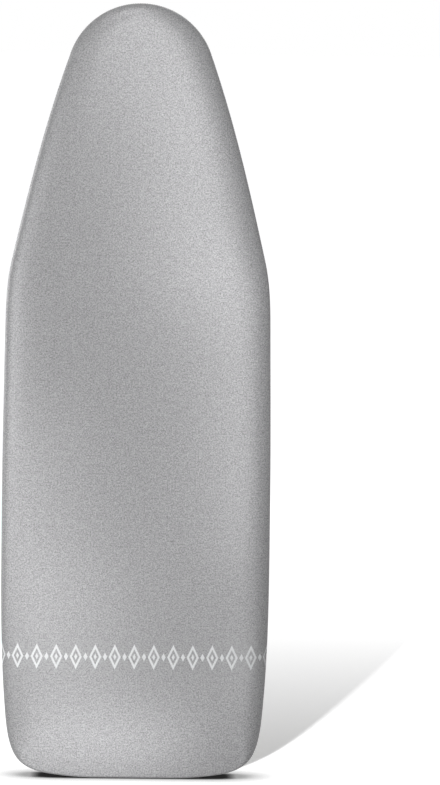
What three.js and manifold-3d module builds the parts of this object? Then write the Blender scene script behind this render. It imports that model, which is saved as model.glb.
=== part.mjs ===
// Ironing board cover, shown as it sits on its board: a metallised cloth over foam and felt,
// with a gathered border that turns under at the back, held there by a drawcord in a tunnel
// with a spring lock. The border and its tunnel are two lengths that meet at the nose.
// Millimetres. +Z runs from the wide end to the nose, the ironing face looks to -Y.
import * as THREE from 'three';
import { mergeVertices } from 'three/addons/utils/BufferGeometryUtils.js';
import Module from 'manifold-3d';

const wasm = await Module();
wasm.setup();

// Overall size
const coverLength = 1210;
const coverWidth = 420;
const coverDepth = 52;

// Edge seen from the front, each draw measured in from the widest part
const footWidth = 120;
const rearRise = 5;
const rearCornerRun = 82;
const rearCornerHeight = 100;
const rearDraw = 8;
const widestHeight = 424;
const shoulderLow = 710;
const shoulderLowDraw = 3.4;
const shoulderHigh = 812;
const shoulderHighDraw = 12.8;
const noseRadius = 115.3;
const taperAngle = 19.8;

// Rounding of the ironing face into the skirt: width seen from the front, and depth
const flankRoundWidth = 62;
const flankRoundDepth = 24;
const noseRoundWidth = 36;
const noseRoundDepth = 20;
const rearRoundWidth = 8;
const rearRoundDepth = 5;
const backTurnRadius = 10;

// Layers
const clothThickness = 1.2;
const foamThickness = 4;
const feltThickness = 3;
const feltEdge = 0.8;
const layerGap = 0.3;

// Turned-under border with its gathers and tunnel
const marginWidth = 58;
const gatherFlank = 0.8;
const gatherCurve = 2.8;
const tunnelWidth = 14;
const tapeThickness = 1.4;
const tapePucker = 0.25;
const mouthGap = 40;
const seamGap = 0.3;

// Drawcord
const cordDiameter = 3;
const cordClearance = 0.4;
const cordTail = 45;

// Cord lock
const lockRadius = 6.5;
const lockBore = 8.4;
const lockFloor = 1.6;
const lockLip = 3;
const plungerPlay = 0.3;
const plungerFoot = 2.5;
const pressTravel = 3.5;
const headHeight = 4.5;
const headRadius = 6;
const springRoom = 7;
const springRadius = 2.9;
const springWire = 0.7;
const springTurns = 4;

// Steps along each stretch of half the edge, foot to nose, and how hard the hem is gathered there
const stretches = [
  { name: 'gap', steps: 3, gather: 0 },
  { name: 'foot', steps: 2, gather: gatherFlank },
  { name: 'rear', steps: 3, gather: gatherFlank },
  { name: 'corner', steps: 7, gather: gatherCurve },
  { name: 'flank low', steps: 4, gather: gatherFlank },
  { name: 'flank high', steps: 3, gather: gatherFlank },
  { name: 'shoulder', steps: 4, gather: gatherFlank },
  { name: 'taper', steps: 3, gather: gatherFlank },
  { name: 'nose', steps: 10, gather: gatherCurve },
];
const [gapSteps, footSteps, rearSteps] = stretches.map((s) => s.steps);
const roundSteps = 3;
const turnSteps = 2;

const degree = Math.PI / 180;
const halfWidth = coverWidth / 2;
const cordRadius = cordDiameter / 2;
const tunnelHalfHeight = cordRadius + cordClearance + tapeThickness;
const hemDepth = coverDepth - clothThickness / 2;
const totalDepth = hemDepth + Math.max(lockRadius, tunnelHalfHeight);
const laneOffset = cordRadius + cordClearance / 2;
const slotHalf = laneOffset + cordRadius + plungerPlay;
const slotWidth = cordDiameter + 2 * plungerPlay;
const lockDrop = slotHalf + plungerFoot + springRoom + lockFloor;
const skirtDepth = coverDepth - backTurnRadius;

// A point of the edge with the way it is heading, moved in square to that heading
function station(x, z, heading, inset) {
  const angle = heading * degree;
  return {
    at: new THREE.Vector2(x - inset * Math.sin(angle), z + inset * Math.cos(angle)),
    along: new THREE.Vector2(Math.cos(angle), Math.sin(angle)),
  };
}

function stretch(from, to, reach) {
  const handle = from.at.distanceTo(to.at) * reach;
  return new THREE.CubicBezierCurve(
    from.at,
    from.at.clone().addScaledVector(from.along, handle),
    to.at.clone().addScaledVector(to.along, -handle),
    to.at,
  );
}

// Half of the edge, from the middle of the foot to the tip of the nose, drawn in by an inset
function halfEdge(inset) {
  const noseAngle = taperAngle * degree;
  const noseCentre = coverLength - noseRadius;
  const middle = station(0, 0, 0, inset);
  const mouth = station(mouthGap / 2, 0, 0, inset);
  const foot = station(footWidth / 2, 0, 0, inset);
  const rear = station(halfWidth - rearCornerRun, rearRise, 8, inset);
  const corner = station(halfWidth - rearDraw, rearCornerHeight, 85, inset);
  const widest = station(halfWidth, widestHeight, 90, inset);
  const low = station(halfWidth - shoulderLowDraw, shoulderLow, 90.8, inset);
  const high = station(halfWidth - shoulderHighDraw, shoulderHigh, 103, inset);
  const noseStart = station(
    noseRadius * Math.cos(noseAngle),
    noseCentre + noseRadius * Math.sin(noseAngle),
    90 + taperAngle,
    inset,
  );
  const radius = noseRadius - inset;
  return [
    new THREE.LineCurve(middle.at, mouth.at),
    new THREE.LineCurve(mouth.at, foot.at),
    stretch(foot, rear, 0.34),
    stretch(rear, corner, 0.5),
    stretch(corner, widest, 0.34),
    stretch(widest, low, 0.34),
    stretch(low, high, 0.34),
    stretch(high, noseStart, 0.34),
    new THREE.EllipseCurve(0, noseCentre, radius, radius, noseAngle, Math.PI / 2),
  ];
}

// Samples round the whole edge, anticlockwise from the middle of the foot
function edge(inset) {
  const half = [];
  halfEdge(inset).forEach((curve, s) => {
    const { steps, gather } = stretches[s];
    for (let i = 0; i < steps; i += 1) {
      const point = curve.getPoint(i / steps);
      const along = curve.getTangent(i / steps);
      half.push({ x: point.x, z: point.y, outX: along.y, outZ: -along.x, gather });
    }
  });
  const tip = { x: 0, z: coverLength - inset, outX: 0, outZ: 1, gather: gatherCurve };
  const mirrored = half.slice(1).reverse().map((s) => ({ ...s, x: -s.x, outX: -s.outX }));
  return [...half, tip, ...mirrored];
}

const rim = edge(0);
const hem = edge(marginWidth);

// Rounding width and depth where the edge faces sideways, to the nose or to the rear
function rounding(sample) {
  const side = Math.abs(sample.outX) ** 1.5;
  const endWidth = sample.outZ > 0 ? noseRoundWidth : rearRoundWidth;
  const endDepth = sample.outZ > 0 ? noseRoundDepth : rearRoundDepth;
  return {
    width: THREE.MathUtils.lerp(endWidth, flankRoundWidth, side),
    depth: THREE.MathUtils.lerp(endDepth, flankRoundDepth, side),
  };
}

function inFrom(sample, inset, depth) {
  return new THREE.Vector3(
    sample.x - sample.outX * inset,
    depth,
    sample.z - sample.outZ * inset,
  );
}

// A ring on the rounded face, a given offset inside the cloth's outer face
function roundRing(offset, step) {
  const angle = (step / roundSteps) * (Math.PI / 2);
  return rim.map((sample) => {
    const { width, depth } = rounding(sample);
    const reach = Math.max(width - offset, 0);
    const fall = Math.max(depth - offset, 0);
    return inFrom(
      sample,
      width - reach * Math.sin(angle),
      Math.max(depth, offset) - fall * Math.cos(angle),
    );
  });
}

const upTo = (count) => Array.from({ length: count + 1 }, (_, i) => i);

function levelRing(inset, depth) {
  return rim.map((sample) => inFrom(sample, inset, depth));
}

// Skins rings of equal count, each quad split along its shorter diagonal. The ends are closed by
// a fan about their middles, by a strip across a thin section, or by joining the last ring to the first.
function skin(rings, ends = 'fan') {
  const count = rings[0].length;
  const points = rings.flat();
  const index = [];
  const bands = ends === 'join' ? rings.length : rings.length - 1;
  const last = (rings.length - 1) * count;
  for (let r = 0; r < bands; r += 1) {
    const here = r * count;
    const next = ((r + 1) % rings.length) * count;
    for (let i = 0; i < count; i += 1) {
      const j = (i + 1) % count;
      const [a, b, c, d] = [here + i, here + j, next + j, next + i];
      const split = points[a].distanceTo(points[c]) < points[b].distanceTo(points[d]);
      index.push(...(split ? [a, b, c, a, c, d] : [a, b, d, b, c, d]));
    }
  }
  if (ends === 'fan') {
    const middles = [rings[0], rings[rings.length - 1]].map((ring) =>
      ring.reduce((sum, p) => sum.add(p), new THREE.Vector3()).divideScalar(count),
    );
    points.push(...middles);
    for (let i = 0; i < count; i += 1) {
      const j = (i + 1) % count;
      index.push(points.length - 2, j, i);
      index.push(points.length - 1, last + i, last + j);
    }
  }
  if (ends === 'strip') {
    for (let i = 0; i < count / 2 - 1; i += 1) {
      const [a, b, c, d] = [i, i + 1, count - 2 - i, count - 1 - i];
      index.push(c, b, a, d, c, a);
      index.push(last + a, last + b, last + c, last + a, last + c, last + d);
    }
  }
  return facingOut(points, index);
}

function facingOut(points, index) {
  let volume = 0;
  for (let i = 0; i < index.length; i += 3) {
    const [a, b, c] = [points[index[i]], points[index[i + 1]], points[index[i + 2]]];
    volume += a.dot(b.clone().cross(c));
  }
  const geometry = new THREE.BufferGeometry().setFromPoints(points);
  geometry.setIndex(volume < 0 ? index.reverse() : index);
  geometry.computeVertexNormals();
  return geometry;
}

// Metallised cloth: face, rounding and skirt, with an even thickness
function outerCloth() {
  const side = (offset) => [
    ...upTo(roundSteps).map((step) => roundRing(offset, step)),
    levelRing(offset, skirtDepth),
  ];
  return skin([...side(0), ...side(clothThickness).reverse()]);
}

// One side's half of a run of samples, from the mouth at the foot to its end at the nose
function halfRun(samples, side) {
  const run = samples.slice(gapSteps, samples.length / 2 + 1);
  const end = run.length - 1;
  return run.map((sample, i) => ({
    ...sample,
    x: side * (i < end ? sample.x : seamGap / 2),
    outX: side * sample.outX,
  }));
}

// Border sewn to the skirt: it turns under and ends beside the tunnel, waved by the gathers
function border(side) {
  const beside = tunnelWidth / 2 + seamGap;
  const hemRun = halfRun(hem, side);
  const sections = halfRun(rim, side).map((sample, i) => {
    const wave = (i % 2 ? 1 : -1) * hemRun[i].gather;
    const face = (offset) => {
      const turn = backTurnRadius - offset;
      const bend = upTo(turnSteps).slice(1).map((step) => {
        const angle = (step / turnSteps) * (Math.PI / 2);
        return inFrom(
          sample,
          backTurnRadius - turn * Math.cos(angle),
          skirtDepth + turn * Math.sin(angle),
        );
      });
      return [
        inFrom(sample, offset, skirtDepth + seamGap),
        ...bend,
        inFrom(hemRun[i], -beside, coverDepth - offset + wave),
      ];
    };
    return [...face(0), ...face(clothThickness).reverse()];
  });
  return skin(sections, 'strip');
}

// Foam draped over the board's edge under the cloth
function foamPad() {
  const front = clothThickness + layerGap;
  const back = front + foamThickness;
  const draped = (offset) => upTo(roundSteps - 1).map((step) => roundRing(offset, step));
  return skin([...draped(front), ...draped(back).reverse()]);
}

// Felt under the foam, flat behind, its edge bevelled to lie against the foam
function feltUnderlay() {
  const front = clothThickness + layerGap + foamThickness + layerGap;
  const drop = feltThickness - feltEdge;
  const flat = roundRing(front, 0);
  const bevel = roundRing(front, 1).map((p, i) => {
    const share = Math.min(1, drop / (p.y - flat[i].y));
    return flat[i].clone().lerp(p, share);
  });
  const back = bevel.map((p) => new THREE.Vector3(p.x, front + feltThickness, p.z));
  return skin([flat, bevel, back]);
}

// Section of tunnel or cord: an octagon drawn out sideways, its flats on the given half sizes
function oval(halfAcross, halfThrough) {
  const corner = halfThrough / Math.cos(Math.PI / 8);
  return Array.from({ length: 8 }, (_, i) => {
    const angle = ((i + 0.5) * Math.PI) / 4;
    const across = corner * Math.cos(angle);
    return {
      across: across + Math.sign(across) * (halfAcross - halfThrough),
      through: corner * Math.sin(angle),
    };
  });
}

function sectionAt(sample, section) {
  return section.map(({ across, through }) => inFrom(sample, -across, hemDepth + through));
}

// Tape tunnel along one side's hem, puckered by the gathers and open at both ends
function hemTunnel(side) {
  const run = halfRun(hem, side);
  const bore = oval(tunnelWidth / 2 - tapeThickness, tunnelHalfHeight - tapeThickness);
  const outside = run.map((sample, i) => {
    const pucker = (i % 2) * sample.gather * tapePucker;
    return sectionAt(sample, oval(tunnelWidth / 2, tunnelHalfHeight + pucker));
  });
  const inside = run.map((sample) => sectionAt(sample, bore));
  return skin([...outside, ...inside.reverse()], 'join');
}

// Cord round the hem. Its ends pass each other through the lock and lie in the far mouths.
function drawcord() {
  const lead = gapSteps + footSteps;
  const round = hem.slice(lead, hem.length - lead + 1);
  const lane = (i) => THREE.MathUtils.clamp(1 - i / rearSteps, 0, 1) * laneOffset;
  const shifted = round.map((s, i) => {
    const shift = lane(i) - lane(round.length - 1 - i);
    return { ...s, x: s.x - s.outX * shift, z: s.z - s.outZ * shift };
  });
  const first = { ...shifted[0], x: -cordTail };
  const last = { ...shifted[shifted.length - 1], x: cordTail };
  const run = [first, ...shifted, last];
  return skin(run.map((sample) => sectionAt(sample, oval(cordRadius, cordRadius))));
}

function manifoldOf(geometry) {
  geometry.deleteAttribute('normal');
  geometry.deleteAttribute('uv');
  const merged = mergeVertices(geometry, 1e-4);
  return new wasm.Manifold(
    new wasm.Mesh({
      numProp: 3,
      vertProperties: new Float32Array(merged.attributes.position.array),
      triVerts: new Uint32Array(merged.index.array),
    }),
  );
}

function subtract(solid, tool) {
  const mesh = manifoldOf(solid).subtract(manifoldOf(tool)).getMesh();
  const geometry = new THREE.BufferGeometry();
  geometry.setAttribute('position', new THREE.BufferAttribute(mesh.vertProperties, 3));
  geometry.setIndex(new THREE.BufferAttribute(mesh.triVerts, 1));
  geometry.computeVertexNormals();
  return geometry;
}

// A turned piece about the lock's own axis, from radius and height pairs
function turned(profile, sides) {
  const points = profile.map(([r, z]) => new THREE.Vector2(r, z));
  return new THREE.LatheGeometry(points, sides).rotateX(Math.PI / 2);
}

// Slot for both cords, right through from side to side
function cordSlot(low, high) {
  const slot = new THREE.BoxGeometry(4 * lockRadius, slotWidth, high - low);
  return slot.translate(0, 0, (high + low) / 2);
}

function lockBody() {
  const top = slotHalf + lockLip;
  const boreRadius = lockBore / 2;
  const waist = lockRadius - 0.7;
  const barrel = turned(
    [
      [0, -lockDrop],
      [lockRadius - 1.5, -lockDrop],
      [lockRadius, -lockDrop + 1.5],
      [lockRadius, -slotHalf - 2],
      [waist, -slotHalf - 1],
      [waist, slotHalf + 0.4],
      [lockRadius, slotHalf + 1.2],
      [lockRadius, top - 0.6],
      [lockRadius - 0.6, top],
      [boreRadius, top],
      [boreRadius, -lockDrop + lockFloor],
      [0, -lockDrop + lockFloor],
    ],
    24,
  );
  return subtract(barrel, cordSlot(-slotHalf, slotHalf));
}

function lockPlunger() {
  const stem = lockBore / 2 - plungerPlay;
  const foot = -slotHalf - plungerFoot;
  const head = slotHalf + lockLip + pressTravel + 0.5;
  const crown = head + headHeight;
  const pin = turned(
    [
      [0, foot],
      [stem - 0.5, foot],
      [stem, foot + 0.5],
      [stem, head],
      [headRadius - 0.5, head],
      [headRadius, head + 0.5],
      [headRadius, crown - 1.6],
      [headRadius - 0.5, crown - 0.7],
      [headRadius - 1.6, crown],
      [headRadius - 2.4, crown],
      [0, crown - 0.7],
    ],
    24,
  );
  return subtract(pin, cordSlot(-slotHalf, slotHalf + pressTravel));
}

// Compression spring between the lock's floor and the plunger's foot, each end standing square
function lockSpring() {
  const low = -lockDrop + lockFloor + layerGap;
  const high = -slotHalf - plungerFoot - layerGap;
  const rise = high - low - 2 * springWire;
  const steps = springTurns * 8;
  const up = new THREE.Vector3(0, 0, 1);
  const at = (i) => {
    const angle = (i / 8) * 2 * Math.PI;
    const out = new THREE.Vector3(Math.cos(angle), Math.sin(angle), 0);
    const centre = out.clone().multiplyScalar(springRadius);
    return { out, centre: centre.setZ(low + springWire + (rise * i) / steps) };
  };
  const ring = (centre, across, through) =>
    Array.from({ length: 5 }, (_, k) => {
      const turn = (k / 5) * 2 * Math.PI;
      return centre
        .clone()
        .addScaledVector(across, (springWire / 2) * Math.cos(turn))
        .addScaledVector(through, (springWire / 2) * Math.sin(turn));
    });
  const stub = ({ out, centre }, z) =>
    ring(centre.clone().setZ(z), out, out.clone().cross(up));
  const coil = upTo(steps).map(at);
  const turns = coil.map(({ out, centre }) => ring(centre, out, up));
  const apart = coil.flatMap((a, i) =>
    coil.slice(i + 5).map((b) => a.centre.distanceTo(b.centre)),
  );
  const least = Math.min(...apart) - springWire;
  console.log(`spring: least gap between turns ${least.toFixed(2)} mm`);
  return skin([stub(coil[0], low), ...turns, stub(coil[steps], high)]);
}

function material(color, roughness, metalness = 0) {
  return new THREE.MeshStandardMaterial({ color, roughness, metalness });
}

const part = new THREE.Group();
const add = (name, geometry, look, lift = new THREE.Vector3()) => {
  const mesh = new THREE.Mesh(geometry, look);
  mesh.name = name;
  mesh.position.set(lift.x, lift.y - totalDepth / 2, lift.z);
  part.add(mesh);
};
const lockSeat = new THREE.Vector3(0, hemDepth, marginWidth);
const cloth = material(0xb4b6b8, 0.45, 0.35);
const tape = material(0xc9c9c6, 0.85);
add('outer_cloth', outerCloth(), cloth);
add('foam_pad', foamPad(), material(0xe4dcc4, 0.95));
add('felt_underlay', feltUnderlay(), material(0xd8d4ca, 1));
[['right', 1], ['left', -1]].forEach(([name, side]) => {
  add(`border_${name}`, border(side), cloth);
  add(`hem_tunnel_${name}`, hemTunnel(side), tape);
});
add('drawcord', drawcord(), material(0xf0eee6, 0.8));
add('cord_lock_body', lockBody(), material(0x2a2b2d, 0.5), lockSeat);
add('cord_lock_plunger', lockPlunger(), material(0x3a3c3f, 0.5), lockSeat);
add('cord_lock_spring', lockSpring(), material(0xb8bcc0, 0.3, 1), lockSeat);

export default part;
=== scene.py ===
# Ironing board cover: its looks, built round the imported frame.
# Metres. The ironing face looks to -Y, the nose points up and the open back looks to +Y.
import math
import bpy
import numpy as np
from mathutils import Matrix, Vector
from mathutils.geometry import delaunay_2d_cdt


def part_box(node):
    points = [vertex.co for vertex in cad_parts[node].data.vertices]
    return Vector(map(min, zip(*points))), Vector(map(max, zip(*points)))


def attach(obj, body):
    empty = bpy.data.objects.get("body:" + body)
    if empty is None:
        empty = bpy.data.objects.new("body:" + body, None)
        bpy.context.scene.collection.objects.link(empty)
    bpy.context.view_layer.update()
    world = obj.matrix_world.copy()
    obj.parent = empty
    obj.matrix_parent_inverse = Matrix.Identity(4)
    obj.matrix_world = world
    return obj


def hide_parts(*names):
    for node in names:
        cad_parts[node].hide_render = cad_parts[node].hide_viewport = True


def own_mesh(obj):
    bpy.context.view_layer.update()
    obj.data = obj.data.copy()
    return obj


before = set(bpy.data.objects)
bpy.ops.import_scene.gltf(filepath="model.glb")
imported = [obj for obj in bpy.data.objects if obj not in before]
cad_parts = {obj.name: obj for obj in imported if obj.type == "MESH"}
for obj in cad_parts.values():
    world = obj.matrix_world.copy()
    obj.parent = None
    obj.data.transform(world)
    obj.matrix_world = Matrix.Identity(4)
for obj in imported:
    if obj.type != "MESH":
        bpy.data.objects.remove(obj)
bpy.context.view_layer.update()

scene = bpy.context.scene
scene.view_settings.view_transform = "Standard"
mm = 0.001
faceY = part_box("outer_cloth")[0].y  # the ironing face, where depths start

# The cover's edge seen from the front: stations from the foot to the nose
edge = {
    "length": 1210 * mm,
    "halfWidth": 210 * mm,
    "mouth": 20 * mm,
    "foot": 60 * mm,
    "rearRun": 82 * mm,
    "rearRise": 5 * mm,
    "rearHeading": 8,  # headings are degrees from straight to the right
    "cornerHeight": 100 * mm,
    "cornerDraw": 8 * mm,
    "cornerHeading": 85,
    "widestHeight": 424 * mm,
    "lowHeight": 710 * mm,
    "lowDraw": 3.4 * mm,
    "lowHeading": 90.8,
    "highHeight": 812 * mm,
    "highDraw": 12.8 * mm,
    "highHeading": 103,
    "noseRadius": 115.3 * mm,
    "taper": 19.8,
    "handles": [1 / 3, 1 / 3, 0.34, 0.5, 0.34, 0.34, 0.34, 0.34],  # in shares of each stretch
    "hem": 58 * mm,  # how far in from the edge the drawcord runs
}


def unit(rows):
    return rows / np.linalg.norm(rows, axis=1, keepdims=True)


def lengthsAlong(points):
    # how far along its line each point lies
    return np.concatenate([[0], np.cumsum(np.linalg.norm(np.diff(points, axis=0), axis=1))])


def smooth(x, low, high):
    t = np.clip((x - low) / (high - low), 0, 1)
    return t * t * (3 - 2 * t)


def mixed(a, b, t):
    return a + (b - a) * t


def anglesRound(count):
    return np.arange(count) * 2 * math.pi / count


def station(x, z, heading, inset):
    # a point of the edge moved into the cover, and the way the edge runs there
    angle = math.radians(heading)
    along = np.array([math.cos(angle), math.sin(angle)])
    return np.array([x, z]) + inset * np.array([-along[1], along[0]]), along


def halfEdge(inset):
    # curve handles of each stretch from the middle of the foot to where the nose arc begins
    w, r = edge["halfWidth"], edge["noseRadius"]
    taper = math.radians(edge["taper"])
    stops = [
        (0, 0, 0),
        (edge["mouth"], 0, 0),
        (edge["foot"], 0, 0),
        (w - edge["rearRun"], edge["rearRise"], edge["rearHeading"]),
        (w - edge["cornerDraw"], edge["cornerHeight"], edge["cornerHeading"]),
        (w, edge["widestHeight"], 90),
        (w - edge["lowDraw"], edge["lowHeight"], edge["lowHeading"]),
        (w - edge["highDraw"], edge["highHeight"], edge["highHeading"]),
        (r * math.cos(taper), edge["length"] - r + r * math.sin(taper), 90 + edge["taper"]),
    ]
    stops = [station(*stop, inset) for stop in stops]
    bends = []
    for (a, alongA), (b, alongB), share in zip(stops, stops[1:], edge["handles"]):
        handle = share * np.linalg.norm(b - a)
        bends.append(np.array([a, a + alongA * handle, b - alongB * handle, b]))
    return bends


def alongBend(p, t):
    t = t[:, None]
    at = (1 - t) ** 3 * p[0] + 3 * (1 - t) ** 2 * t * p[1] + 3 * (1 - t) * t * t * p[2] + t ** 3 * p[3]
    way = (1 - t) ** 2 * (p[1] - p[0]) + 2 * (1 - t) * t * (p[2] - p[1]) + t * t * (p[3] - p[2])
    return at, unit(way)


def alongNose(inset, t):
    angle = math.radians(edge["taper"]) * (1 - t) + math.pi / 2 * t
    out = np.stack([np.cos(angle), np.sin(angle)], 1)
    middle = np.array([0, edge["length"] - edge["noseRadius"]])
    return middle + (edge["noseRadius"] - inset) * out, np.stack([-out[:, 1], out[:, 0]], 1)


def evenSteps(spacings):
    # where to sample each stretch so that the points lie evenly along the edge
    fine = np.linspace(0, 1, 240)
    runs = [alongBend(p, fine)[0] for p in halfEdge(0)] + [alongNose(0, fine)[0]]
    steps = []
    for run, spacing in zip(runs, np.broadcast_to(spacings, len(runs))):
        arc = lengthsAlong(run)
        count = max(2, round(arc[-1] / spacing))
        steps.append(np.interp(np.arange(count) * arc[-1] / count, arc, fine))
    steps[-1] = np.append(steps[-1], 1.0)
    return steps


def halfRun(inset, steps):
    # points of the right half and the way out of the cover at each
    parts = [alongBend(p, t) for p, t in zip(halfEdge(inset), steps)] + [alongNose(inset, steps[-1])]
    at = np.concatenate([p[0] for p in parts])
    way = np.concatenate([p[1] for p in parts])
    return at, np.stack([way[:, 1], -way[:, 0]], 1)


def pastMouth(inset, steps):
    # the right half without its first stretch, where the border leaves a gap
    return tuple(part[len(steps[0]):] for part in halfRun(inset, steps))


def wholeRun(half):
    # the right half and its mirror image, once round
    return np.concatenate([half, (half * [-1, 1])[-2:0:-1]])


def place(flat, depth):
    # points seen from the front, with their depths, as rows of x, y, z
    depth = np.broadcast_to(depth, flat.shape[:1])
    return np.stack([flat[:, 0], faceY + depth, flat[:, 1]], 1)


def facing(way):
    # directions seen from the front, as rows of x, y, z
    return place(way, 0.0) - [0, faceY, 0]


def unevenAlong(arc, random, low, high, count):
    # random values at even steps along a line, and what lies between them at its points
    return np.interp(arc, np.linspace(0, arc[-1], count), random.uniform(low, high, count))


def gridFaces(rows, columns, closed, flip=False):
    r, c = np.meshgrid(np.arange(rows - 1), np.arange(columns if closed else columns - 1), indexing="ij")
    n = (c + 1) % columns
    quads = np.stack([r * columns + c, (r + 1) * columns + c, (r + 1) * columns + n, r * columns + n], -1)
    quads = quads.reshape(-1, 4)
    return quads[:, ::-1] if flip else quads


def cappedFaces(rows, columns):
    # faces of a stack of rings, closed at both ends
    last = (rows - 1) * columns
    caps = [list(range(columns))[::-1], list(range(last, last + columns))]
    return gridFaces(rows, columns, True, flip=True).tolist() + caps


def fillInside(loop, spacing, first, inside):
    # points on a staggered grid inside a closed line, and triangles between them and the line:
    # the line's points are numbered from first on and the new points from inside on
    rowShare, clearShare = 0.866, 0.6  # between rows, and left free along the line, by the spacing
    low, high = loop.min(0), loop.max(0)
    grid = []
    for k, z in enumerate(np.arange(low[1], high[1], spacing * rowShare)):
        x = np.arange(-high[0] + (k % 2) * spacing / 2, high[0], spacing)
        grid.append(np.stack([x, np.full(len(x), z)], 1))
    grid = np.concatenate(grid)
    a, b = loop, np.roll(loop, -1, axis=0)
    x, z = grid[:, :1], grid[:, 1:]
    spans = (a[:, 1] > z) != (b[:, 1] > z)
    rise = np.where(a[:, 1] == b[:, 1], 1.0, b[:, 1] - a[:, 1])
    crossings = spans & (x < a[:, 0] + (b[:, 0] - a[:, 0]) * (z - a[:, 1]) / rise)
    clear = np.hypot(x - a[:, 0], z - a[:, 1]).min(1) > clearShare * spacing
    inner = grid[(crossings.sum(1) % 2 == 1) & clear]
    points = [Vector(p) for p in np.concatenate([loop, inner])]
    made = delaunay_2d_cdt(points, [], [list(range(len(loop)))], 1, 1e-7)
    numbers = [origin[0] for origin in made[3]]
    numbers = [n + first if n < len(loop) else n - len(loop) + inside for n in numbers]
    return inner, [[numbers[i] for i in face] for face in made[2]]


def linked(name, data):
    thing = bpy.data.objects.new(name, data)
    scene.collection.objects.link(thing)
    return thing


def newObject(name, verts, faces):
    mesh = bpy.data.meshes.new(name)
    mesh.from_pydata(np.asarray(verts).tolist(), [], [list(f) for f in faces])
    return linked(name, mesh)


def makePiece(name, verts, faces, materials, body="cover", replaces=(), slot=None, uv=None):
    piece = newObject(name, verts, faces)
    mesh = piece.data
    for material in materials:
        mesh.materials.append(material)
    if uv is not None:
        loops = np.empty(len(mesh.loops), np.int32)
        mesh.loops.foreach_get("vertex_index", loops)
        mesh.uv_layers.new(name="flat").data.foreach_set("uv", uv[loops].astype(np.float32).ravel())
    mesh.polygons.foreach_set("use_smooth", np.ones(len(mesh.polygons), bool))
    mesh.update()
    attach(piece, body)
    if replaces:
        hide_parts(*replaces)
    return piece


def thicken(piece, thickness, backing=0):
    solid = piece.modifiers.new("thickness", "SOLIDIFY")
    solid.thickness = thickness
    solid.offset = -1
    solid.material_offset = backing
    solid.material_offset_rim = backing


def settle(piece):
    # the modifiers' result becomes the mesh
    bpy.context.view_layer.update()
    graph = bpy.context.evaluated_depsgraph_get()
    final = bpy.data.meshes.new_from_object(piece.evaluated_get(graph))
    old = piece.data
    piece.modifiers.clear()
    piece.data = final
    bpy.data.meshes.remove(old)


def tube(points, radius, sides, upHint):
    # a closed tube along points, whose radius may change along it and round it
    way = unit(np.gradient(points, axis=0))
    up = unit(np.cross(np.cross(way, upHint), way))
    across = np.cross(way, up)
    angle = anglesRound(sides)
    reach = np.broadcast_to(radius, (len(points), sides))
    ring = np.cos(angle)[None, :, None] * up[:, None] + np.sin(angle)[None, :, None] * across[:, None]
    verts = points[:, None] + ring * reach[..., None]
    return verts.reshape(-1, 3), cappedFaces(len(points), sides)


# Node helpers
def feed(tree, socket, value):
    # a link if the value comes from another node, else a fixed value
    if isinstance(value, bpy.types.NodeSocket):
        tree.links.new(value, socket)
    else:
        socket.default_value = value


def put(tree, kind, links=None, **settings):
    made = tree.nodes.new("ShaderNode" + kind)
    for key, value in settings.items():
        setattr(made, key, value)
    for key, value in (links or {}).items():
        feed(tree, made.inputs[key], value)
    return made


def sums(tree, operation, a, b=0.0, c=0.0, clamp=False):
    return put(tree, "Math", {0: a, 1: b, 2: c}, operation=operation, use_clamp=clamp).outputs[0]


def vectors(tree, operation, links):
    return put(tree, "VectorMath", links, operation=operation).outputs[0]


def ramp(tree, value, low, high, outLow=0.0, outHigh=1.0):
    return put(
        tree, "MapRange",
        {"Value": value, "From Min": low, "From Max": high, "To Min": outLow, "To Max": outHigh},
    ).outputs["Result"]


def tint(tree, share, a, b):
    mixer = put(tree, "Mix", data_type="RGBA")
    feed(tree, mixer.inputs[0], share)
    for number, colour in ((6, a), (7, b)):
        made = isinstance(colour, bpy.types.NodeSocket)
        feed(tree, mixer.inputs[number], colour if made else (*colour, 1.0))
    return mixer.outputs[2]


def inSpace(tree):
    return put(tree, "TexCoord").outputs["Object"]


def onCloth(tree):
    return put(tree, "UVMap", uv_map="flat").outputs["UV"]


def newGroup(name, values, outputs):
    # a node group that takes a place and values, and gives values
    group = bpy.data.node_groups.new(name, "ShaderNodeTree")
    group.interface.new_socket("Vector", in_out="INPUT", socket_type="NodeSocketVector")
    for label, value in values.items():
        socket = group.interface.new_socket(label, in_out="INPUT", socket_type="NodeSocketFloat")
        socket.default_value = value
    for label in outputs:
        group.interface.new_socket(label, in_out="OUTPUT", socket_type="NodeSocketFloat")
    return group, group.nodes.new("NodeGroupInput").outputs, group.nodes.new("NodeGroupOutput").inputs


def useGroup(tree, group, links):
    return put(tree, "Group", links, node_tree=group).outputs


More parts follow.
